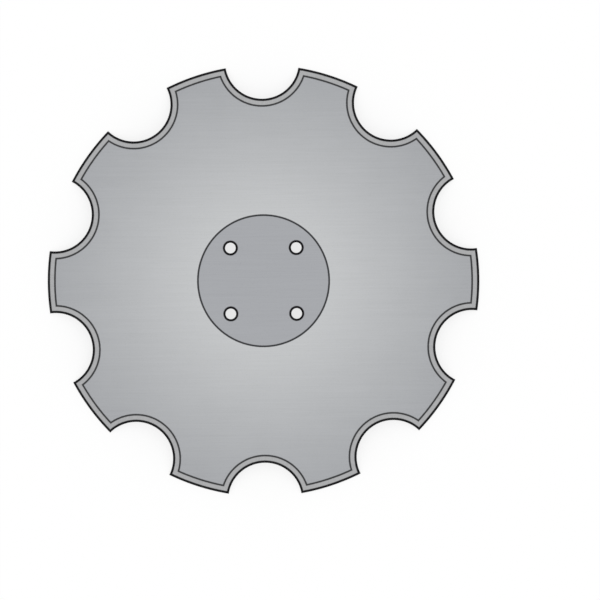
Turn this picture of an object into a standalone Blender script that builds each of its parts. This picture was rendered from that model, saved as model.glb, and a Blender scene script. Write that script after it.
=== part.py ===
"""A notched harrow disc blade, pressed from one sheet of hard steel.

The blade lies on its teeth with its crown up. The plane of the rim is z = 0, the axis of the disc
is +Z, and the middle of one tooth points along +X.
"""

import math

import bmesh
import bpy
from mathutils import Matrix

MM = 0.001

# Dish
DISC_DIAMETER = 510 * MM
DISC_DEPTH = 56 * MM
SHEET_THICKNESS = 5 * MM
FLAT_DIAMETER = 155 * MM
CREASE_RADIUS = 20 * MM

# Cutting edge
NOTCH_COUNT = 10
NOTCH_RADIUS = 43.5 * MM
NOTCH_CIRCLE_DIAMETER = 517 * MM
BEVEL_WIDTH = 8.5 * MM
EDGE_THICKNESS = 1 * MM

# Holes for the bolts of the hub
BOLT_COUNT = 4
BOLT_CIRCLE_DIAMETER = 110 * MM
BOLT_HOLE_DIAMETER = 12.5 * MM
FIRST_BOLT_ANGLE = math.radians(45)

# Reach of every cutter past the steel
CUT_OVERRUN = 3 * MM

# Facets
TURN_STEPS = 120
DISH_STEPS = 10
CREASE_STEPS = 2
NOTCH_STEPS = 64
BOLT_HOLE_STEPS = 32
MERGE_DISTANCE = 0.01 * MM

# Steel
STEEL_COLOR = (0.47, 0.475, 0.485, 1.0)
STEEL_METALLIC = 0.9
STEEL_ROUGHNESS = 0.42

RIM_RADIUS = DISC_DIAMETER / 2
FLAT_RADIUS = FLAT_DIAMETER / 2
CREASE_CENTRE_HEIGHT = DISC_DEPTH - CREASE_RADIUS
NOTCH_PITCH = math.tau / NOTCH_COUNT


def dish_sphere():
    """Radius of the hollow side's sphere, and the depth of its centre below the rim plane.

    The hollow side meets the rim plane at the rim. The crown side, one sheet thickness outside it,
    runs into the flat through the arc of the crease, which has its centre below the flat's edge.
    """
    inset = SHEET_THICKNESS - CREASE_RADIUS
    offset = RIM_RADIUS**2 + inset**2 - FLAT_RADIUS**2 - CREASE_CENTRE_HEIGHT**2
    offset /= 2 * CREASE_CENTRE_HEIGHT
    slope = inset / CREASE_CENTRE_HEIGHT
    spread = 1 - slope**2
    radius = (offset * slope + math.sqrt(offset**2 + spread * RIM_RADIUS**2)) / spread
    return radius, offset + slope * radius


HOLLOW_RADIUS, CENTRE_DEPTH = dish_sphere()
CROWN_RADIUS = HOLLOW_RADIUS + SHEET_THICKNESS


def pressed_height(radius, level):
    """Height in the pressed dish of a point of the flat sheet, level above its hollow side."""
    hollow = math.sqrt(HOLLOW_RADIUS**2 - radius**2) - CENTRE_DEPTH
    crown = math.sqrt(CROWN_RADIUS**2 - radius**2) - CENTRE_DEPTH
    return hollow + (crown - hollow) * level / SHEET_THICKNESS


def arc(centre, radius, start, end, steps):
    """Points of an arc in the profile's plane, by angles from the upright."""
    angles = [start + (end - start) * step / steps for step in range(steps + 1)]
    return [
        (centre[0] + radius * math.sin(angle), centre[1] + radius * math.cos(angle))
        for angle in angles
    ]


def blade_profile():
    """Half section of the plain dish, from the crown's middle over the rim to the hollow's middle."""
    crease_centre = (FLAT_RADIUS, CREASE_CENTRE_HEIGHT)
    dish_centre = (0, -CENTRE_DEPTH)
    crease_angle = math.asin(FLAT_RADIUS / (CROWN_RADIUS - CREASE_RADIUS))
    bevel_angle = math.asin((RIM_RADIUS - BEVEL_WIDTH) / CROWN_RADIUS)
    rim_angle = math.asin(RIM_RADIUS / HOLLOW_RADIUS)
    crown = arc(crease_centre, CREASE_RADIUS, 0, crease_angle, CREASE_STEPS)
    crown += arc(dish_centre, CROWN_RADIUS, crease_angle, bevel_angle, DISH_STEPS)[1:]
    rim = [(RIM_RADIUS, pressed_height(RIM_RADIUS, EDGE_THICKNESS))]
    hollow = arc(dish_centre, HOLLOW_RADIUS, rim_angle, crease_angle, DISH_STEPS)
    inner_crease_radius = CREASE_RADIUS - SHEET_THICKNESS
    hollow += arc(crease_centre, inner_crease_radius, crease_angle, 0, CREASE_STEPS)[1:]
    middle_top = (0, DISC_DEPTH)
    middle_bottom = (0, DISC_DEPTH - SHEET_THICKNESS)
    return [middle_top, *crown, *rim, *hollow, middle_bottom]


def clear_scene():
    """Removes whatever the scene holds."""
    for obj in list(bpy.data.objects):
        bpy.data.objects.remove(obj)


def new_collection(name):
    """A collection of the scene."""
    collection = bpy.data.collections.new(name)
    bpy.context.scene.collection.children.link(collection)
    return collection


def steel_material():
    """Bare steel, hardened and tumbled to a satin grey."""
    material = bpy.data.materials.new("blade_steel")
    material.use_nodes = True
    shader = material.node_tree.nodes["Principled BSDF"]
    shader.inputs["Base Color"].default_value = STEEL_COLOR
    shader.inputs["Metallic"].default_value = STEEL_METALLIC
    shader.inputs["Roughness"].default_value = STEEL_ROUGHNESS
    return material


def turned(name, profile, steps, collection):
    """An object whose profile, given as radius and height, is turned once about Z."""
    mesh = bpy.data.meshes.new(name)
    points = [(radius, 0, height) for radius, height in profile]
    mesh.from_pydata(points, [(i, i + 1) for i in range(len(points) - 1)], [])
    obj = bpy.data.objects.new(name, mesh)
    collection.objects.link(obj)
    screw = obj.modifiers.new("Turn", "SCREW")
    screw.steps = steps
    screw.render_steps = steps
    screw.use_merge_vertices = True
    screw.merge_threshold = MERGE_DISTANCE
    return obj


def add_cutter(name, mesh, collection):
    """A cutter that shows as wires and is never rendered."""
    cutter = bpy.data.objects.new(name, mesh)
    cutter.display_type = "WIRE"
    cutter.hide_render = True
    collection.objects.link(cutter)
    return cutter


def notch_mesh(collection):
    """One bevelled notch, turned about its own axis, set at +X and pressed to the dish."""
    bevel_run = BEVEL_WIDTH / (SHEET_THICKNESS - EDGE_THICKNESS)
    mouth_radius = NOTCH_RADIUS + BEVEL_WIDTH + bevel_run * CUT_OVERRUN
    top = SHEET_THICKNESS + CUT_OVERRUN
    profile = [
        (0, top),
        (mouth_radius, top),
        (NOTCH_RADIUS, EDGE_THICKNESS),
        (NOTCH_RADIUS, -CUT_OVERRUN),
        (0, -CUT_OVERRUN),
    ]
    blank = turned("notch_blank", profile, NOTCH_STEPS, collection)
    evaluated = blank.evaluated_get(bpy.context.evaluated_depsgraph_get())
    mesh = bpy.data.meshes.new_from_object(evaluated)
    bpy.data.objects.remove(blank)
    mesh.transform(Matrix.Translation((NOTCH_CIRCLE_DIAMETER / 2, 0, 0)))
    for vertex in mesh.vertices:
        radius = math.hypot(vertex.co.x, vertex.co.y)
        vertex.co.z = pressed_height(radius, vertex.co.z)
    mesh.name = "notch"
    return mesh


def add_notch_cutters(collection):
    """A notch in every gap between two teeth."""
    mesh = notch_mesh(collection)
    for index in range(NOTCH_COUNT):
        cutter = add_cutter(f"notch_{index + 1}", mesh, collection)
        cutter.rotation_euler.z = NOTCH_PITCH * index + NOTCH_PITCH / 2


def bolt_hole_mesh():
    """A straight pin through the sheet, with its middle at the origin."""
    mesh = bpy.data.meshes.new("bolt_hole")
    pin = bmesh.new()
    bmesh.ops.create_cone(
        pin,
        cap_ends=True,
        segments=BOLT_HOLE_STEPS,
        radius1=BOLT_HOLE_DIAMETER / 2,
        radius2=BOLT_HOLE_DIAMETER / 2,
        depth=SHEET_THICKNESS + 2 * CUT_OVERRUN,
    )
    pin.to_mesh(mesh)
    pin.free()
    return mesh


def add_bolt_hole_cutters(collection):
    """The bolt holes, spaced evenly on their circle in the flat."""
    mesh = bolt_hole_mesh()
    for index in range(BOLT_COUNT):
        angle = FIRST_BOLT_ANGLE + math.tau * index / BOLT_COUNT
        cutter = add_cutter(f"bolt_hole_{index + 1}", mesh, collection)
        cutter.location.x = BOLT_CIRCLE_DIAMETER / 2 * math.cos(angle)
        cutter.location.y = BOLT_CIRCLE_DIAMETER / 2 * math.sin(angle)
        cutter.location.z = DISC_DEPTH - SHEET_THICKNESS / 2


def add_disc_blade(collection, cutters):
    """The dished blade, turned whole and then cut."""
    blade = turned("disc_blade", blade_profile(), TURN_STEPS, collection)
    blade.data.materials.append(steel_material())
    cut = blade.modifiers.new("Notches and bolt holes", "BOOLEAN")
    cut.operation = "DIFFERENCE"
    cut.solver = "EXACT"
    cut.operand_type = "COLLECTION"
    cut.collection = cutters


def main():
    """Builds the blade and its cutters."""
    clear_scene()
    parts = new_collection("harrow_disc_blade")
    cutters = new_collection("cutters")
    add_notch_cutters(cutters)
    add_bolt_hole_cutters(cutters)
    add_disc_blade(parts, cutters)


main()
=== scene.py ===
"""A notched harrow disc blade in bare steel, with a ground edge, on a plain white stage."""

import math

import bmesh
import bpy
from bpy.props import FloatProperty, FloatVectorProperty, IntProperty, PointerProperty
from mathutils import Matrix, Vector


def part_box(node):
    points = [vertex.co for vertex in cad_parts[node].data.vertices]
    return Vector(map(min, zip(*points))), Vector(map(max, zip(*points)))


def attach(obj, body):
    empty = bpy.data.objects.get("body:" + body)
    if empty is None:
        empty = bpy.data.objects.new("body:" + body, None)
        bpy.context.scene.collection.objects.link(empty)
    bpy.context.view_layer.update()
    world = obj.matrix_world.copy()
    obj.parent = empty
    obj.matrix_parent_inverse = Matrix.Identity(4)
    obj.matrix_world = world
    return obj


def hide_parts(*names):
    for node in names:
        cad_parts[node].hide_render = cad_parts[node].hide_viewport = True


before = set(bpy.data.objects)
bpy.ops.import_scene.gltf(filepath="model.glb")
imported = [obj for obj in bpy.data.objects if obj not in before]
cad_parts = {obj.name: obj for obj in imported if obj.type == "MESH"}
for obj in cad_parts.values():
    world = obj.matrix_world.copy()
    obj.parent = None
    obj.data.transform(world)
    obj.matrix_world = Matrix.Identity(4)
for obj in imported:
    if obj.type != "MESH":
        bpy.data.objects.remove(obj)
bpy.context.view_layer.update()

bl_info = {
    "name": "Harrow Disc Blade",
    "version": (1, 0, 0),
    "blender": (4, 5, 0),
    "location": "3D View > Sidebar > Disc Blade",
    "description": "Makes a notched harrow disc blade in bare steel and a stage to show it on",
    "category": "Add Mesh",
}

MM = 0.001
BLADE_NODE = "disc_blade"
BODY = "root"

# The finished steel is this much narrower than its solid, so that it stays in the solid's box.
RIM_PLAY = 0.2 * MM
# Points of neighbouring bands that lie closer than this become one.
WELD_DISTANCE = 0.01 * MM
# Added to a whole column number before it is compared, so that rounding never moves it.
HALF_COLUMN = 0.5
# The first notch lies half a pitch from +X, because a tooth points there.
FIRST_NOTCH_SHARE = 0.5

EDGE_MAP = "edge_map"
GROUND_MARK = "ground"
NOISE_DETAIL = 3.0
NOISE_ROUGHNESS = 0.55
BLADE_LOW, BLADE_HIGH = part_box(BLADE_NODE)
BLADE_SPAN = BLADE_HIGH[0] - BLADE_LOW[0]
BLADE_DEPTH = BLADE_HIGH[2] - BLADE_LOW[2]


def length(name, description, default):
    """A property for a length in metres."""
    return FloatProperty(
        name=name,
        description=description,
        default=default,
        min=0,
        subtype="DISTANCE",
        unit="LENGTH",
    )


def count(name, description, default, least):
    """A property for a whole number."""
    return IntProperty(name=name, description=description, default=default, min=least)


def turn(name, description, degrees):
    """A property for an angle, whose default is given in degrees."""
    return FloatProperty(
        name=name, description=description, default=math.radians(degrees), subtype="ANGLE"
    )


def pixels(name, description, default):
    """A property for a length or a place in the picture."""
    return FloatProperty(name=name, description=description, default=default, subtype="PIXEL")


def color(name, description, default):
    """A property for a plain colour."""
    return FloatVectorProperty(
        name=name, description=description, default=default, min=0, max=1, size=3, subtype="COLOR"
    )


def share(name, description, default):
    """A property for a share from nothing to all."""
    return FloatProperty(
        name=name, description=description, default=default, min=0, max=1, subtype="FACTOR"
    )


class BladeSizes(bpy.types.PropertyGroup):
    """Sizes of the pressed disc."""

    diameter: length("Diameter", "Across the tips of the teeth", BLADE_SPAN - RIM_PLAY)
    depth: length("Depth", "From the rim to the crown", BLADE_DEPTH)
    thickness: length("Sheet Thickness", "Thickness of the pressed sheet", 5 * MM)
    flat_diameter: length("Flat Diameter", "Flat seat in the middle of the crown", 155 * MM)
    crease_radius: length("Crease Radius", "Bend between flat and dish, on the crown", 20 * MM)
    notch_count: count("Notches", "Notches round the rim", 10, least=3)
    notch_radius: length("Notch Radius", "Radius of each notch, seen from above", 43.5 * MM)
    notch_circle: length("Notch Circle", "Diameter of the circle of notch centres", 517 * MM)
    bevel_width: length("Bevel Width", "Width of the ground bevel, seen from above", 8.5 * MM)
    edge_thickness: length("Edge Thickness", "Steel left at the cutting edge", 1 * MM)
    bolt_count: count("Bolt Holes", "Holes for the bolts of the hub", 4, least=1)
    bolt_circle: length("Bolt Circle", "Diameter of the circle of bolt holes", 110 * MM)
    bolt_hole: length("Bolt Hole", "Diameter of a bolt hole", 12.5 * MM)
    bolt_hole_round: length("Hole Rounding", "Rounded edge that the punch leaves", 0.5 * MM)
    bolt_hole_collar: length("Hole Collar", "Narrow flat collar round a hole", 0.6 * MM)
    bolt_angle: turn("First Bolt", "Angle of the first hole", 45)


class BladeFacets(bpy.types.PropertyGroup):
    """How finely the surface is divided."""

    tooth_columns: count("Tooth Columns", "Faces across a tooth", 40, least=4)
    notch_columns: count("Notch Columns", "Faces round a notch", 52, least=4)
    web_rings: count("Web Rings", "Faces from the flat to the bevel", 30, least=3)
    bevel_rings: count("Bevel Rings", "Faces up the bevel", 8, least=3)
    edge_rings: count("Edge Rings", "Faces up the cutting edge", 4, least=2)
    crease_rings: count("Crease Rings", "Faces round the crease", 3, least=2)
    hole_columns: count("Hole Columns", "Faces round a bolt hole", 64, least=8)
    hole_rings: count("Hole Rings", "Faces down a bolt hole", 20, least=6)
    seat_margin: length("Seat Margin", "Width of the face rings inside the flat's edge", 2.5 * MM)


class SteelFinish(bpy.types.PropertyGroup):
    """Colours and surface of the steel."""

    # Painted shading: the dish is coloured lighter beside the flat and darker towards the rim,
    # standing in for the shade its slope gets.
    flat_side_shading_color: color("Web at the Flat", "Satin steel beside the flat, painted lighter as shading", (0.481, 0.49, 0.498))
    rim_color: color("Web at the Rim", "Satin steel beside the bevel, painted darker as shading", (0.387, 0.397, 0.414))
    # Painted shade: the flat seat is coloured darker than the dish beside it.
    seat_shade_color: color("Seat", "Flat seat, painted darker as shade", (0.336, 0.344, 0.362))
    ground_color: color("Ground Bevel", "Freshly ground steel", (0.425, 0.428, 0.434))
    # Painted shade: near-black lines along the cutting edge, the bevel's ridge and the flat's
    # edge, and round and inside the bolt holes.
    painted_line_color: color("Painted Dark Lines", "Dark lines painted as shade at edge, holes and bends", (0.012, 0.012, 0.013))
    satin_roughness: share("Satin Roughness", "Roughness of the tumbled steel", 0.42)
    satin_spread: share("Satin Spread", "How far the satin varies", 0.15)
    ground_roughness: share("Ground Roughness", "Roughness of the ground bevel", 0.34)
    ground_spread: share("Ground Spread", "How far the ground bevel varies", 0.2)
    painted_line_roughness: share("Scale Roughness", "Roughness of the painted dark lines", 0.6)
    metallic: share("Metallic", "Share of metal in the surface", 1.0)
    grain_size: length("Grain Size", "Width of the fine grain", 1.1 * MM)
    grain_height: length("Grain Height", "Height of the fine grain", 0.012 * MM)
    grain_tone: share("Grain Tone", "How far the grain changes the tone", 0.14)
    cloud_size: length("Cloud Size", "Width of the soft tempering clouds", 45 * MM)
    cloud_tone: share("Cloud Tone", "How far the clouds change the tone", 0.1)
    rolling_length: length("Rolling Length", "Length of the faint rolling streaks", 70 * MM)
    rolling_width: length("Rolling Width", "Width of the faint rolling streaks", 1.4 * MM)
    streak_tone: share("Streak Tone", "How far the streaks change the tone", 0.12)
    pit_pitch: length("Pit Pitch", "Distance between the small pits of the rolled sheet", 3 * MM)
    pit_radius: length("Pit Radius", "Radius of a small pit", 0.7 * MM)
    pit_depth: length("Pit Depth", "Depth of a small pit", 0.03 * MM)
    pit_tone: share("Pit Tone", "How far a pit darkens the steel", 0.08)
    grind_pitch: length("Grinding Pitch", "Distance between grinding marks", 1.2 * MM)
    grind_length: length("Grinding Length", "Length of the grinding marks", 17 * MM)
    grind_height: length("Grinding Height", "Height of the grinding marks", 0.018 * MM)
    grinding_tone: share("Grinding Tone", "How far the grinding marks change the tone", 0.3)
    line_half_width: length("Line Half Width", "Half the width of a thin painted dark line", 1.4 * MM)
    edge_line_width: length("Edge Line Width", "Width of the line on the cutting edge", 3.1 * MM)
    hole_ring_width: length("Hole Ring Width", "Width of the dark ring round a hole", 3 * MM)
    line_fade: length("Line Fade", "Width over which the side of a dark line fades", 0.7 * MM)
    line_wander: length("Line Wander", "How far the sides of a dark line wander", 0.7 * MM)
    line_strength: share("Line Strength", "How far a thin painted dark line covers the steel", 0.9)


class StageSetup(bpy.types.PropertyGroup):
    """Camera, lamps and floor."""

    frame_pixels: pixels("Frame", "Side of the square picture", 600)
    rim_pixels: pixels("Rim", "Radius of the rim in the picture", 215.9)
    axis_pixel_x: pixels("Axis X", "Axis of the disc, from the left", 263.55)
    axis_pixel_y: pixels("Axis Y", "Axis of the disc, from the top", 280.73)
    camera_height: length("Camera Height", "Height of the camera above the floor", 2.0)
    lean: turn("Lean", "Turn of the disc in the picture", 0.42)
    floor_size: length("Floor Size", "Side of the floor", 60.0)
    floor_color: color("Floor", "Plain pale floor, before its glow", (0.25, 0.25, 0.25))
    sky_light: share("Sky Light", "Light of the room on matt surfaces", 0.94)
    lamp_light: share("Lamp Light", "Light of the soft overhead lamp", 0.2)
    lamp_angle: turn("Lamp Angle", "Spread of the soft lamp", 60)


class Term:
    """A number in a node tree. A sum of terms becomes Math nodes."""

    def __init__(self, tree, socket):
        self.tree = tree
        self.socket = socket

    def math(self, operation, *others):
        """The result of a Math node that takes this term first."""
        node = self.tree.nodes.new("ShaderNodeMath")
        node.operation = operation
        for place, value in enumerate((self, *others)):
            feed(self.tree, node.inputs[place], value)
        return Term(self.tree, node.outputs[0])

    def __add__(self, other):
        return self.math("ADD", other)

    def __sub__(self, other):
        return self.math("SUBTRACT", other)

    def __mul__(self, other):
        return self.math("MULTIPLY", other)

    def __truediv__(self, other):
        return self.math("DIVIDE", other)

    def from_one(self):
        """One minus this term."""
        return self * -1 + 1

    def in_one(self):
        """This term, held between nought and one."""
        return self.math("MAXIMUM", 0).math("MINIMUM", 1)

    def towards(self, end, amount):
        """The value at a share of the way from this term to the end."""
        return (self * -1 + end) * amount + self


def feed(tree, socket, value):
    """Links a term to an input, or writes a plain value to it."""
    if isinstance(value, Term):
        value = value.socket
    if isinstance(value, bpy.types.NodeSocket):
        tree.links.new(value, socket)
    else:
        socket.default_value = value


def add_node(tree, kind, inputs=None, **settings):
    """A node with its settings made, and its inputs fed by name or place."""
    node = tree.nodes.new(kind)
    for name, value in settings.items():
        setattr(node, name, value)
    for key, value in (inputs or {}).items():
        feed(tree, node.inputs[key], value)
    return node


def new_tree(name, numbers=(), counts=(), geometry_out=True):
    """A Geometry Nodes tree with named inputs, and its inputs as a dict of terms."""
    tree = bpy.data.node_groups.new(name, "GeometryNodeTree")
    for label in numbers:
        tree.interface.new_socket(label, in_out="INPUT", socket_type="NodeSocketFloat")
    for label in counts:
        tree.interface.new_socket(label, in_out="INPUT", socket_type="NodeSocketInt")
    if geometry_out:
        tree.interface.new_socket("Mesh", in_out="OUTPUT", socket_type="NodeSocketGeometry")
    given = tree.nodes.new("NodeGroupInput")
    terms = {label: Term(tree, given.outputs[label]) for label in (*numbers, *counts)}
    return tree, terms


def send_out(tree, **results):
    """Feeds the tree's outputs, making those that it doesn't have yet."""
    known = {item.name for item in tree.interface.items_tree if item.in_out == "OUTPUT"}
    for name in results:
        if name not in known:
            tree.interface.new_socket(name, in_out="OUTPUT", socket_type="NodeSocketFloat")
    out = tree.nodes.new("NodeGroupOutput")
    for name, value in results.items():
        feed(tree, out.inputs[name], value)


def use_group(tree, group, terms, **inputs):
    """A group node. Inputs not given here come from the terms of the same name."""
    node = add_node(tree, "GeometryNodeGroup", node_tree=group)
    for socket in node.inputs:
        label = socket.name
        key = label.replace(" ", "_")
        if key in inputs:
            feed(tree, socket, inputs[key])
        elif label in terms:
            feed(tree, socket, terms[label])
    return node


DISH_SIZES = (
    "Depth",
    "Thickness",
    "Flat Radius",
    "Crease Radius",
    "Hollow Radius",
    "Centre Depth",
)
OUTLINE_SIZES = ("Rim Radius", "Notch Radius", "Notch Centre", "Tooth Length", "Notch Length")
OUTLINE_COUNTS = ("Notches", "Tooth Columns", "Notch Columns")
BOLT_SIZES = (
    "Bolt Circle Radius",
    "Bolt Hole Radius",
    "Hole Rounding",
    "Hole Collar",
    "First Bolt",
)
BOLT_COUNTS = ("Bolt Holes", "Hole Columns", "Hole Rings")


def height_tree():
    """Height of a point of the pressed sheet, from its radius and its level in the sheet."""
    tree, size = new_tree("Sheet height", ("Radius", "Level", *DISH_SIZES), geometry_out=False)
    radius, level = size["Radius"], size["Level"]
    arc_radius = size["Crease Radius"] - size["Thickness"] + level
    past_flat = (radius - size["Flat Radius"]).math("MAXIMUM", 0)
    arc_square = arc_radius * arc_radius - past_flat * past_flat
    crease = arc_square.math("SQRT") + size["Depth"] - size["Crease Radius"]
    sphere_radius = size["Hollow Radius"] + level
    sphere_square = sphere_radius * sphere_radius - radius * radius
    dish = sphere_square.math("SQRT") - size["Centre Depth"]
    crease_end = use_group(tree, bpy.data.node_groups["Crease end"], size).outputs["Radius"]
    on_dish = radius.math("GREATER_THAN", crease_end)
    send_out(tree, Height=crease.towards(dish, on_dish))
    return tree


def crease_tree():
    """Radius at which the crease runs into the dish, at a level in the sheet."""
    tree, size = new_tree("Crease end", ("Level", *DISH_SIZES), geometry_out=False)
    sphere_radius = size["Hollow Radius"] + size["Thickness"] - size["Crease Radius"]
    arc_radius = size["Crease Radius"] - size["Thickness"] + size["Level"]
    send_out(tree, Radius=size["Flat Radius"] + arc_radius * size["Flat Radius"] / sphere_radius)
    return tree


def outline_tree():
    """Polar place of a column on the scalloped outline, drawn in by the inset.

    Teeth and notches take turns. Columns crowd towards both ends of each, where the corners are.
    """
    labels = ("Column", "Inset", *OUTLINE_SIZES)
    tree, size = new_tree("Blade outline", labels, OUTLINE_COUNTS, geometry_out=False)
    columns = size["Tooth Columns"] + size["Notch Columns"]
    pitches = ((size["Column"] + HALF_COLUMN) / columns).math("FLOOR")
    place = size["Column"] - pitches * columns
    in_notch = (place + HALF_COLUMN).math("GREATER_THAN", size["Tooth Columns"])
    tooth_share = place / size["Tooth Columns"]
    notch_share = (place - size["Tooth Columns"]) / size["Notch Columns"]
    swing = (tooth_share.towards(notch_share, in_notch) * math.pi).math("COSINE") * -1

    pitch = size["Notches"].math("POWER", -1) * math.tau
    rim, notch = size["Rim Radius"] - size["Inset"], size["Notch Radius"] + size["Inset"]
    centre = size["Notch Centre"]
    corner_cosine = (rim * rim + centre * centre - notch * notch) / (rim * centre * 2)
    corner = corner_cosine.math("ARCCOSINE")
    half_tooth = pitch / 2 - corner
    corner_side, corner_reach = rim * corner.math("SINE"), centre - rim * corner_cosine
    notch_turn = corner_side.math("ARCTAN2", corner_reach) * swing
    across = centre - notch * notch_turn.math("COSINE")
    aside = notch * notch_turn.math("SINE")
    notch_radius = (across * across + aside * aside).math("SQRT")
    notch_angle = aside.math("ARCTAN2", across) + pitch / 2
    angle = (half_tooth * swing).towards(notch_angle, in_notch) + pitches * pitch
    half_way = (swing + 1) / 2
    tooth_run, notch_run = half_way * size["Tooth Length"], half_way * size["Notch Length"]
    run = tooth_run.towards(notch_run + size["Tooth Length"], in_notch)
    run += pitches * (size["Tooth Length"] + size["Notch Length"])
    send_out(tree, Radius=rim.towards(notch_radius, in_notch), Angle=angle, Run=run)
    return tree


def strip_grid(tree, columns, rings):
    """A grid with its columns counted from nought and its rings eased from nought to one.

    The grid lies about its middle, so half its size brings its first column and ring to nought.
    """
    grid = add_node(
        tree,
        "GeometryNodeMeshGrid",
        {"Size X": columns, "Size Y": 1.0, "Vertices X": columns + 1, "Vertices Y": rings + 1},
    )
    position = tree.nodes.new("GeometryNodeInputPosition")
    parts = add_node(tree, "ShaderNodeSeparateXYZ", {0: position.outputs[0]})
    column = (Term(tree, parts.outputs["X"]) + columns / 2).math("ROUND")
    ring = Term(tree, parts.outputs["Y"]) + 0.5
    eased = ((ring * math.pi).math("COSINE") * -1 + 1) / 2
    return grid.outputs["Mesh"], column, eased


def charted(tree, mesh, run, from_edge):
    """The mesh with a map of the run along the cutting edge and the way in from it.

    The way in is positive on the crown side and negative on the hollow side.
    """
    chart = add_node(tree, "ShaderNodeCombineXYZ", {"X": run, "Y": from_edge})
    return add_node(
        tree,
        "GeometryNodeStoreNamedAttribute",
        {"Geometry": mesh, "Name": EDGE_MAP, "Value": chart.outputs[0]},
        data_type="FLOAT2",
        domain="CORNER",
    ).outputs[0]


def place_polar(tree, mesh, radius, angle, height):
    """The mesh with its points moved to a radius, an angle and a height."""
    spot = add_node(
        tree,
        "ShaderNodeCombineXYZ",
        {"X": radius * angle.math("COSINE"), "Y": radius * angle.math("SINE"), "Z": height},
    )
    return add_node(
        tree, "GeometryNodeSetPosition", {"Geometry": mesh, "Position": spot.outputs[0]}
    ).outputs[0]


BAND_COURSES = ("Inset", "Core Share", "Core Radius", "Level")
BAND_ENDS = tuple(f"{what} {end}" for what in BAND_COURSES for end in ("From", "To"))


def band_tree(height, outline):
    """A band of the sheet's surface, all the way round.

    Each ring lies between the outline, drawn in by an inset, and a round core. The share says how
    far it has gone from the one to the other.
    """
    labels = (*BAND_ENDS, "Side", *DISH_SIZES, *OUTLINE_SIZES)
    tree, size = new_tree("Sheet band", labels, ("Rings", *OUTLINE_COUNTS))
    columns = (size["Tooth Columns"] + size["Notch Columns"]) * size["Notches"]
    mesh, column, eased = strip_grid(tree, columns, size["Rings"])
    inset, core_share, core, level = (
        size[f"{what} From"].towards(size[f"{what} To"], eased) for what in BAND_COURSES
    )
    edge = use_group(tree, outline, size, Column=column, Inset=inset)
    start = use_group(tree, outline, size, Column=0, Inset=0)
    edge_radius, edge_angle, run = (
        Term(tree, edge.outputs[name]) for name in ("Radius", "Angle", "Run")
    )
    even_angle = column / columns * math.tau + Term(tree, start.outputs["Angle"])
    radius = edge_radius.towards(core, core_share)
    angle = edge_angle.towards(even_angle, core_share)
    lift = use_group(tree, height, size, Radius=radius, Level=level)
    from_edge = (inset + (edge_radius - core) * core_share) * size["Side"]
    mapped = charted(tree, mesh, run, from_edge)
    send_out(tree, Mesh=place_polar(tree, mapped, radius, angle, lift.outputs[0]))
    return tree


def join(tree, *meshes):
    """All the meshes as one."""
    node = tree.nodes.new("GeometryNodeJoinGeometry")
    for mesh in meshes:
        tree.links.new(mesh, node.inputs[0])
    return node.outputs[0]


def marked(tree, mesh, name):
    """The mesh with each face marked as having a finish."""
    return add_node(
        tree,
        "GeometryNodeStoreNamedAttribute",
        {"Geometry": mesh, "Name": name, "Value": 1.0},
        data_type="FLOAT",
        domain="FACE",
    ).outputs[0]


def lifted(tree, mesh, height):
    """The mesh lifted by a height."""
    lift = add_node(tree, "ShaderNodeCombineXYZ", {"Z": height})
    return add_node(
        tree, "GeometryNodeTransform", {"Geometry": mesh, "Translation": lift.outputs[0]}
    ).outputs[0]


def turned(tree, shape, angle):
    """The shape turned by an angle about the disc's axis."""
    rotation = add_node(tree, "ShaderNodeCombineXYZ", {"Z": angle})
    return add_node(
        tree, "GeometryNodeTransform", {"Geometry": shape, "Rotation": rotation.outputs[0]}
    ).outputs[0]


def at_bolts(tree, size, shape):
    """A copy of the shape at each bolt hole, in the plane z = 0."""
    circle = add_node(
        tree,
        "GeometryNodeMeshCircle",
        {"Vertices": size["Bolt Holes"], "Radius": size["Bolt Circle Radius"]},
    )
    points = turned(tree, circle.outputs[0], size["First Bolt"])
    copies = add_node(tree, "GeometryNodeInstanceOnPoints", {"Points": points, "Instance": shape})
    real = add_node(tree, "GeometryNodeRealizeInstances", {"Geometry": copies.outputs[0]})
    return real.outputs[0]


def hole_tree():
    """The walls of the bolt holes, each rounded into a narrow collar at both faces."""
    tree, size = new_tree("Bolt hole", ("Thickness", *BOLT_SIZES), BOLT_COUNTS)
    mesh, column, eased = strip_grid(tree, size["Hole Columns"], size["Hole Rings"])
    half, rounding, collar = size["Thickness"] / 2, size["Hole Rounding"], size["Hole Collar"]
    path = (half + collar).towards((half + collar) * -1, eased)
    reach = path.math("ABSOLUTE")
    in_wall = reach.math("MINIMUM", half)
    height = in_wall * path.math("SIGN")
    into_round = (in_wall - half + rounding).math("MAXIMUM", 0)
    arc = (rounding * rounding - into_round * into_round).math("MAXIMUM", 0).math("SQRT")
    on_collar = (reach - half).math("MAXIMUM", 0)
    radius = size["Bolt Hole Radius"] + rounding - arc + on_collar
    angle = column / size["Hole Columns"] * math.tau
    send_out(tree, Mesh=at_bolts(tree, size, place_polar(tree, mesh, radius, angle, height)))
    return tree


def plate_tree(outline):
    """The flat of the seat, with an opening round each bolt hole, in the plane z = 0."""
    labels = ("Plate Radius", *BOLT_SIZES, *OUTLINE_SIZES)
    tree, size = new_tree("Seat plate", labels, (*BOLT_COUNTS, *OUTLINE_COUNTS))
    columns = (size["Tooth Columns"] + size["Notch Columns"]) * size["Notches"]
    start = use_group(tree, outline, size, Column=0, Inset=0)
    rim = add_node(
        tree,
        "GeometryNodeCurvePrimitiveCircle",
        {"Resolution": columns, "Radius": size["Plate Radius"]},
    )
    opening = add_node(
        tree,
        "GeometryNodeCurvePrimitiveCircle",
        {
            "Resolution": size["Hole Columns"],
            "Radius": size["Bolt Hole Radius"] + size["Hole Rounding"] + size["Hole Collar"],
        },
    )
    edge = turned(tree, rim.outputs[0], start.outputs["Angle"])
    outlines = join(tree, edge, at_bolts(tree, size, opening.outputs[0]))
    send_out(tree, Mesh=add_node(tree, "GeometryNodeFillCurve", {"Curve": outlines}).outputs[0])
    return tree


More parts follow.
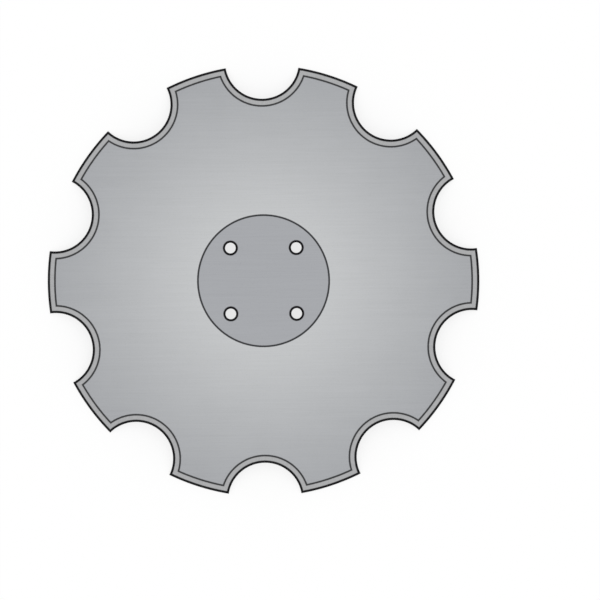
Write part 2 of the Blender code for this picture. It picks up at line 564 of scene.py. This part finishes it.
BLADE_SIZES = (
    *DISH_SIZES,
    *OUTLINE_SIZES,
    "Bevel Width",
    "Edge Thickness",
    "Plate Radius",
    *BOLT_SIZES,
)
BLADE_COUNTS = (
    *OUTLINE_COUNTS,
    *BOLT_COUNTS,
    "Web Rings",
    "Bevel Rings",
    "Edge Rings",
    "Crease Rings",
)


def blade_tree():
    """The whole blade, from bands that run from the hollow over the edge to the crown."""
    crease = crease_tree()
    height, outline = height_tree(), outline_tree()
    band, hole, plate = band_tree(height, outline), hole_tree(), plate_tree(outline)
    tree, size = new_tree("Harrow disc blade", BLADE_SIZES, BLADE_COUNTS)
    tree.interface.new_socket("Steel", in_out="INPUT", socket_type="NodeSocketMaterial")
    crown, land, bevel = size["Thickness"], size["Edge Thickness"], size["Bevel Width"]
    flat, core = size["Flat Radius"], size["Plate Radius"]
    crown_end = Term(tree, use_group(tree, crease, size, Level=crown).outputs[0])
    hollow_end = Term(tree, use_group(tree, crease, size, Level=0).outputs[0])

    def add_band(rings, inset, core_share, core_radius, level, side):
        """A band on one side of the sheet, 1 for the crown and -1 for the hollow."""
        ends = dict(zip(BAND_ENDS, (*inset, *core_share, *core_radius, *level)))
        inputs = {label.replace(" ", "_"): value for label, value in ends.items()}
        node = use_group(tree, band, size, Rings=size[rings], Side=side, **inputs)
        return node.outputs["Mesh"]

    at_edge, up_bevel, at_ridge = (0, 0), (0, bevel), (bevel, bevel)
    on_outline, on_core, inwards, outwards = (0, 0), (1, 1), (0, 1), (1, 0)
    low, high = (0, 0), (crown, crown)
    hollow_bands = [
        add_band("Crease Rings", at_edge, on_core, (core, flat), low, -1),
        add_band("Crease Rings", at_edge, on_core, (flat, hollow_end), low, -1),
        add_band("Web Rings", at_edge, outwards, (hollow_end, hollow_end), low, -1),
    ]
    blunt_edge = add_band("Edge Rings", at_edge, on_outline, (flat, flat), (0, land), 1)
    ground = add_band("Bevel Rings", up_bevel, on_outline, (flat, flat), (land, crown), 1)
    crown_bands = [
        add_band("Web Rings", at_ridge, inwards, (crown_end, crown_end), high, 1),
        add_band("Crease Rings", at_ridge, on_core, (crown_end, flat), high, 1),
        add_band("Crease Rings", at_ridge, on_core, (flat, core), high, 1),
    ]
    plain_seat = use_group(tree, plate, size).outputs["Mesh"]
    seat = charted(tree, plain_seat, 0, size["Rim Radius"])
    under = add_node(tree, "GeometryNodeFlipFaces", {"Mesh": seat}).outputs[0]
    walls = charted(tree, use_group(tree, hole, size).outputs["Mesh"], 0, size["Rim Radius"])
    whole = join(
        tree,
        *hollow_bands,
        blunt_edge,
        marked(tree, ground, GROUND_MARK),
        *crown_bands,
        lifted(tree, seat, size["Depth"]),
        lifted(tree, under, size["Depth"] - crown),
        lifted(tree, walls, size["Depth"] - crown / 2),
    )
    welded = add_node(
        tree, "GeometryNodeMergeByDistance", {"Geometry": whole, "Distance": WELD_DISTANCE}
    )
    smooth = add_node(tree, "GeometryNodeSetShadeSmooth", {"Geometry": welded.outputs[0]})
    real = add_node(tree, "GeometryNodeRealizeInstances", {"Geometry": smooth.outputs[0]})
    given = next(node for node in tree.nodes if node.bl_idname == "NodeGroupInput")
    dressed = add_node(
        tree,
        "GeometryNodeSetMaterial",
        {"Geometry": real.outputs[0], "Material": given.outputs["Steel"]},
    )
    send_out(tree, Mesh=dressed.outputs[0])
    return tree


def hollow_sphere(sizes):
    """Radius of the hollow side, and the depth of its centre below the rim plane.

    The hollow side meets the rim plane at the rim, and the crown side meets the crease's arc.
    """
    rim, flat = sizes.diameter / 2, sizes.flat_diameter / 2
    arc_height = sizes.depth - sizes.crease_radius
    inset = sizes.thickness - sizes.crease_radius
    offset = (rim**2 + inset**2 - flat**2 - arc_height**2) / (2 * arc_height)
    slope = inset / arc_height
    spread = 1 - slope**2
    radius = (offset * slope + math.sqrt(offset**2 + spread * rim**2)) / spread
    return radius, offset + slope * radius


def edge_lengths(sizes):
    """Length of the cutting edge round one tooth and round one notch."""
    rim, notch, centre = sizes.diameter / 2, sizes.notch_radius, sizes.notch_circle / 2
    corner = math.acos((rim**2 + centre**2 - notch**2) / (2 * rim * centre))
    half_tooth = math.pi / sizes.notch_count - corner
    half_notch = math.atan2(rim * math.sin(corner), centre - rim * math.cos(corner))
    return 2 * rim * half_tooth, 2 * notch * half_notch


def set_inputs(modifier, values):
    """Sets a modifier's inputs by their sockets' identifiers."""
    for item in modifier.node_group.interface.items_tree:
        if item.item_type == "SOCKET" and item.in_out == "INPUT":
            modifier[item.identifier] = values[item.name]


def blade_inputs(sizes, facets, steel):
    """The tree's inputs by name."""
    hollow_radius, centre_depth = hollow_sphere(sizes)
    tooth_length, notch_length = edge_lengths(sizes)
    return {
        "Depth": sizes.depth,
        "Thickness": sizes.thickness,
        "Flat Radius": sizes.flat_diameter / 2,
        "Crease Radius": sizes.crease_radius,
        "Hollow Radius": hollow_radius,
        "Centre Depth": centre_depth,
        "Rim Radius": sizes.diameter / 2,
        "Notch Radius": sizes.notch_radius,
        "Notch Centre": sizes.notch_circle / 2,
        "Tooth Length": tooth_length,
        "Notch Length": notch_length,
        "Bevel Width": sizes.bevel_width,
        "Edge Thickness": sizes.edge_thickness,
        "Plate Radius": sizes.flat_diameter / 2 - facets.seat_margin,
        "Bolt Circle Radius": sizes.bolt_circle / 2,
        "Bolt Hole Radius": sizes.bolt_hole / 2,
        "Hole Rounding": sizes.bolt_hole_round,
        "Hole Collar": sizes.bolt_hole_collar,
        "First Bolt": sizes.bolt_angle,
        "Notches": sizes.notch_count,
        "Tooth Columns": facets.tooth_columns,
        "Notch Columns": facets.notch_columns,
        "Bolt Holes": sizes.bolt_count,
        "Hole Columns": facets.hole_columns,
        "Hole Rings": facets.hole_rings,
        "Web Rings": facets.web_rings,
        "Bevel Rings": facets.bevel_rings,
        "Edge Rings": facets.edge_rings,
        "Crease Rings": facets.crease_rings,
        "Steel": steel,
    }


def made_plain(obj):
    """Turns the object's evaluated shape into its own plain mesh."""
    evaluated = obj.evaluated_get(bpy.context.evaluated_depsgraph_get())
    mesh = bpy.data.meshes.new_from_object(evaluated)
    obj.modifiers.clear()
    obj.data = mesh
    mesh.name = obj.name


class MESH_OT_add_disc_blade(bpy.types.Operator):
    """Make the pressed disc with its teeth, notches, ground bevel, flat seat and bolt holes"""

    bl_idname = "mesh.add_disc_blade"
    bl_label = "Disc Blade"

    def execute(self, context):
        scene = context.scene
        blade = bpy.data.objects.new("pressed_blade", bpy.data.meshes.new("pressed_blade"))
        scene.collection.objects.link(blade)
        modifier = blade.modifiers.new("Blade", "NODES")
        modifier.node_group = blade_tree()
        steel = blade_steel(scene.blade_sizes, scene.steel_finish)
        set_inputs(modifier, blade_inputs(scene.blade_sizes, scene.blade_facets, steel))
        made_plain(blade)
        if not blade.data.polygons:
            raise RuntimeError("the blade's tree made no faces")
        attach(blade, BODY)
        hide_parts(BLADE_NODE)
        return {"FINISHED"}


def noise(tree, vector, scale=1.0):
    """A noise that strays up and down from nought."""
    node = add_node(
        tree,
        "ShaderNodeTexNoise",
        {"Vector": vector, "Scale": scale, "Detail": NOISE_DETAIL, "Roughness": NOISE_ROUGHNESS},
    )
    return Term(tree, node.outputs[0]) - 0.5


def stretched(tree, vector, *sizes):
    """The vector, with each of its axes divided by a size."""
    scale = tuple(1 / size for size in sizes)
    return add_node(tree, "ShaderNodeMapping", {"Vector": vector, "Scale": scale}).outputs[0]


def mixed(tree, low, high, amount):
    """A colour at a share of the way from one to another."""
    node = add_node(tree, "ShaderNodeMix", data_type="RGBA")
    feed(tree, node.inputs["Factor"], amount)
    ends = [socket for socket in node.inputs if socket.type == "RGBA"]
    for socket, value in zip(ends, (low, high)):
        is_socket = isinstance(value, bpy.types.NodeSocket)
        feed(tree, socket, value if is_socket else (*value, 1))
    return next(socket for socket in node.outputs if socket.type == "RGBA")


def from_repeated(radius, angle, circle_radius, number, first_share):
    """Distance in the plan to the nearest of some points, spaced evenly on a circle.

    The first point lies at a share of the pitch from the line of +X. Each point is measured from
    half a pitch before it to half a pitch after it.
    """
    pitch = math.tau / number
    aside_angle = ((angle / pitch - first_share + 0.5).math("FRACT") - 0.5) * pitch
    ahead = radius * aside_angle.math("COSINE") - circle_radius
    aside = radius * aside_angle.math("SINE")
    return (ahead * ahead + aside * aside).math("SQRT")


def plan_distances(sizes, x, y):
    """Distances in the plan from the cutting edge, the nearest bolt hole's wall and the axis."""
    radius, angle = (x * x + y * y).math("SQRT"), y.math("ARCTAN2", x)
    bolt_share = sizes.bolt_angle / math.tau * sizes.bolt_count
    to_notch = from_repeated(
        radius, angle, sizes.notch_circle / 2, sizes.notch_count, FIRST_NOTCH_SHARE
    )
    to_bolt = from_repeated(radius, angle, sizes.bolt_circle / 2, sizes.bolt_count, bolt_share)
    to_rim = radius * -1 + sizes.diameter / 2
    to_edge = (to_notch - sizes.notch_radius).math("MINIMUM", to_rim)
    return to_edge, to_bolt - sizes.bolt_hole / 2, radius


def line(distance, half_width, fade):
    """One along the middle of a line, falling to nothing over the last part of its half width."""
    return ((distance.math("ABSOLUTE") * -1 + half_width) / fade).in_one()


class SteelSurface:
    """The marks on the blade's steel, as terms of its material's node tree."""

    def __init__(self, tree, sizes, finish):
        self.tree = tree
        self.sizes = sizes
        self.finish = finish
        self.place = tree.nodes.new("ShaderNodeTexCoord").outputs["Object"]
        self.chart = add_node(tree, "ShaderNodeUVMap", uv_map=EDGE_MAP).outputs[0]
        mark = add_node(tree, "ShaderNodeAttribute", attribute_name=GROUND_MARK)
        self.ground = Term(tree, mark.outputs["Fac"])
        self.add_textures()
        self.add_lines()

    def add_textures(self):
        """Grain, soft clouds, rolling streaks, small pits and grinding marks."""
        tree, finish = self.tree, self.finish
        rolling, width = finish.rolling_length, finish.rolling_width
        rolled = stretched(tree, self.place, rolling, width, rolling)
        mark_length, mark_pitch = finish.grind_length, finish.grind_pitch
        swept = stretched(tree, self.chart, mark_pitch, mark_length, mark_length)
        pitch = finish.pit_pitch
        cells = add_node(tree, "ShaderNodeTexVoronoi", {"Vector": self.place, "Scale": 1 / pitch})
        from_pit = Term(tree, cells.outputs["Distance"]) * pitch
        self.grain = noise(tree, self.place, 1 / finish.grain_size)
        self.clouds = noise(tree, self.place, 1 / finish.cloud_size)
        self.streaks = noise(tree, rolled)
        self.pits = (from_pit / finish.pit_radius).from_one().in_one()
        self.grinding = noise(tree, swept)

    def add_lines(self):
        """Painted shade: dark lines along the ridge, the flat's edge and the blunt edge, and
        round the holes.
        """
        tree, sizes, finish = self.tree, self.sizes, self.finish
        parts = add_node(tree, "ShaderNodeSeparateXYZ", {0: self.place})
        chart_parts = add_node(tree, "ShaderNodeSeparateXYZ", {0: self.chart})
        on_crown = Term(tree, chart_parts.outputs["Y"]).math("GREATER_THAN", 0)
        x, y = (Term(tree, parts.outputs[axis]) for axis in "XY")
        to_edge, to_hole, self.radius = plan_distances(sizes, x, y)
        wander, fade = self.grain * finish.line_wander, finish.line_fade
        from_flat = self.radius - sizes.flat_diameter / 2 + wander
        from_ridge = to_edge - sizes.bevel_width + wander
        seat_line = line(from_flat, finish.line_half_width, fade)
        ridge_line = line(from_ridge, finish.line_half_width, fade) * on_crown
        edge_line = line((to_edge + wander).math("MAXIMUM", 0), finish.edge_line_width, fade)
        hole_ring = line((to_hole + wander).math("MAXIMUM", 0), finish.hole_ring_width, fade)
        thin_lines = seat_line.math("MAXIMUM", ridge_line) * finish.line_strength
        self.lines = thin_lines.math("MAXIMUM", edge_line).math("MAXIMUM", hole_ring)

    def color(self):
        """The tone of the steel, with its painted shading, under its marks and painted dark
        lines.
        """
        tree, sizes, finish = self.tree, self.sizes, self.finish
        flat_radius, rim_radius = sizes.flat_diameter / 2, sizes.diameter / 2
        past_flat = self.radius - flat_radius
        outward = (past_flat / (rim_radius - flat_radius)).in_one()
        on_seat = (past_flat / finish.line_half_width).from_one().in_one()
        # Painted shading: lighter beside the flat, darker towards the rim.
        web = mixed(tree, finish.flat_side_shading_color, finish.rim_color, outward)
        # Painted shade: the flat seat, darker than the web beside it.
        satin = mixed(tree, web, finish.seat_shade_color, on_seat)
        steel = mixed(tree, satin, finish.ground_color, self.ground)
        tone = self.clouds * finish.cloud_tone + self.grain * finish.grain_tone
        tone += self.streaks * finish.streak_tone - self.pits * finish.pit_tone + 1
        tone += self.grinding * finish.grinding_tone * self.ground
        toned = add_node(
            tree, "ShaderNodeVectorMath", {0: steel, "Scale": tone}, operation="SCALE"
        )
        # Painted shade: the dark lines cover the steel's tone.
        return mixed(tree, toned.outputs[0], finish.painted_line_color, self.lines)

    def roughness(self):
        """Satin on the dish, smoother on the ground bevel and dull on the painted dark lines."""
        finish = self.finish
        satin = (self.clouds + self.grain) * finish.satin_spread + finish.satin_roughness
        ground = self.grinding * finish.ground_spread + finish.ground_roughness
        return satin.towards(ground, self.ground).towards(finish.painted_line_roughness, self.lines)

    def relief(self):
        """Grain and pits on the dish, and grinding marks on the bevel, as heights in metres."""
        finish = self.finish
        satin = self.grain * finish.grain_height - self.pits * finish.pit_depth
        height = satin.towards(self.grinding * finish.grind_height, self.ground)
        bump = add_node(self.tree, "ShaderNodeBump", {"Height": height, "Distance": 1.0})
        return bump.outputs[0]


def blade_steel(sizes, finish):
    """Bare hardened steel, satin on the dish and ground on the bevel, with painted shading and
    painted dark lines.
    """
    material = bpy.data.materials.new("blade_steel")
    material.use_nodes = True
    tree = material.node_tree
    shader = tree.nodes["Principled BSDF"]
    surface = SteelSurface(tree, sizes, finish)
    feed(tree, shader.inputs["Base Color"], surface.color())
    feed(tree, shader.inputs["Roughness"], surface.roughness())
    feed(tree, shader.inputs["Normal"], surface.relief())
    shader.inputs["Metallic"].default_value = finish.metallic
    return material


def seen_or_mirrored(tree):
    """One for what the camera sees, straight, in metal or through glass."""
    path = tree.nodes.new("ShaderNodeLightPath")
    seen = Term(tree, path.outputs["Is Camera Ray"])
    for kind in ("Is Glossy Ray", "Is Transmission Ray"):
        seen = seen.math("MAXIMUM", path.outputs[kind])
    return seen


def white_room(stage):
    """A world that shows as white and lights matt surfaces softly."""
    world = bpy.data.worlds.new("white_room")
    world.use_nodes = True
    tree = world.node_tree
    background = tree.nodes["Background"]
    background.inputs["Color"].default_value = (1, 1, 1, 1)
    strength = seen_or_mirrored(tree) * (1 - stage.sky_light) + stage.sky_light
    feed(tree, background.inputs["Strength"], strength)
    return world


def floor_paint(stage):
    """Matt pale paint, white where nothing shades it, and clear when seen from below."""
    material = bpy.data.materials.new("floor_paint")
    material.use_nodes = True
    tree = material.node_tree
    shader = tree.nodes["Principled BSDF"]
    shader.inputs["Base Color"].default_value = (*stage.floor_color, 1)
    shader.inputs["Roughness"].default_value = 1
    shader.inputs["Specular IOR Level"].default_value = 0
    glow = [1 - channel for channel in stage.floor_color]
    shader.inputs["Emission Color"].default_value = (*glow, 1)
    feed(tree, shader.inputs["Emission Strength"], seen_or_mirrored(tree))
    underside = tree.nodes.new("ShaderNodeNewGeometry").outputs["Backfacing"]
    clear = tree.nodes.new("ShaderNodeBsdfTransparent").outputs[0]
    sides = add_node(tree, "ShaderNodeMixShader", {0: underside, 1: shader.outputs[0], 2: clear})
    tree.links.new(sides.outputs[0], tree.nodes["Material Output"].inputs["Surface"])
    return material


class SCENE_OT_set_blade_stage(bpy.types.Operator):
    """Set the white floor, the soft lamp and the camera that looks straight down on the crown"""

    bl_idname = "scene.set_blade_stage"
    bl_label = "Stage"

    def execute(self, context):
        stage = context.scene.blade_stage
        self.add_floor(context, stage)
        self.add_lamp(context, stage)
        self.add_camera(context, stage)
        context.scene.world = white_room(stage)
        context.scene.view_settings.view_transform = "Standard"
        return {"FINISHED"}

    def add_floor(self, context, stage):
        """A wide floor under the blade."""
        mesh = bpy.data.meshes.new("floor")
        sheet = bmesh.new()
        bmesh.ops.create_grid(sheet, x_segments=1, y_segments=1, size=stage.floor_size / 2)
        sheet.to_mesh(mesh)
        sheet.free()
        mesh.materials.append(floor_paint(stage))
        floor = bpy.data.objects.new("floor", mesh)
        context.scene.collection.objects.link(floor)

    def add_lamp(self, context, stage):
        """A soft lamp straight above."""
        data = bpy.data.lights.new("soft_lamp", "SUN")
        data.energy = stage.lamp_light
        data.angle = stage.lamp_angle
        context.scene.collection.objects.link(bpy.data.objects.new("soft_lamp", data))

    def add_camera(self, context, stage):
        """A camera straight above, framed by the rim's size and place in the picture."""
        pixel = BLADE_SPAN / 2 / stage.rim_pixels
        data = bpy.data.cameras.new("camera")
        data.type = "ORTHO"
        data.ortho_scale = stage.frame_pixels * pixel
        camera = bpy.data.objects.new("camera", data)
        middle = stage.frame_pixels / 2
        aside = Vector((middle - stage.axis_pixel_x, stage.axis_pixel_y - middle, 0)) * pixel
        camera.location = Matrix.Rotation(-stage.lean, 3, "Z") @ aside
        camera.location.z = stage.camera_height
        camera.rotation_euler.z = -stage.lean
        context.scene.collection.objects.link(camera)
        context.scene.camera = camera


class VIEW3D_PT_disc_blade(bpy.types.Panel):
    """Sizes, finish and stage of the disc blade"""

    bl_idname = "VIEW3D_PT_disc_blade"
    bl_label = "Disc Blade"
    bl_space_type = "VIEW_3D"
    bl_region_type = "UI"
    bl_category = "Disc Blade"

    def draw(self, context):
        for name in SETTINGS:
            box = self.layout.box()
            settings = getattr(context.scene, name)
            for label in settings.__annotations__:
                box.prop(settings, label)
        self.layout.operator(MESH_OT_add_disc_blade.bl_idname)
        self.layout.operator(SCENE_OT_set_blade_stage.bl_idname)


SETTINGS = {
    "blade_sizes": BladeSizes,
    "blade_facets": BladeFacets,
    "steel_finish": SteelFinish,
    "blade_stage": StageSetup,
}
CLASSES = (
    *SETTINGS.values(),
    MESH_OT_add_disc_blade,
    SCENE_OT_set_blade_stage,
    VIEW3D_PT_disc_blade,
)


def register():
    for cls in CLASSES:
        bpy.utils.register_class(cls)
    for name, cls in SETTINGS.items():
        setattr(bpy.types.Scene, name, PointerProperty(type=cls))


def unregister():
    for name in SETTINGS:
        delattr(bpy.types.Scene, name)
    for cls in reversed(CLASSES):
        bpy.utils.unregister_class(cls)


def main():
    """Makes the blade and its stage."""
    register()
    bpy.ops.mesh.add_disc_blade()
    bpy.ops.scene.set_blade_stage()


if __name__ == "__main__":
    main()
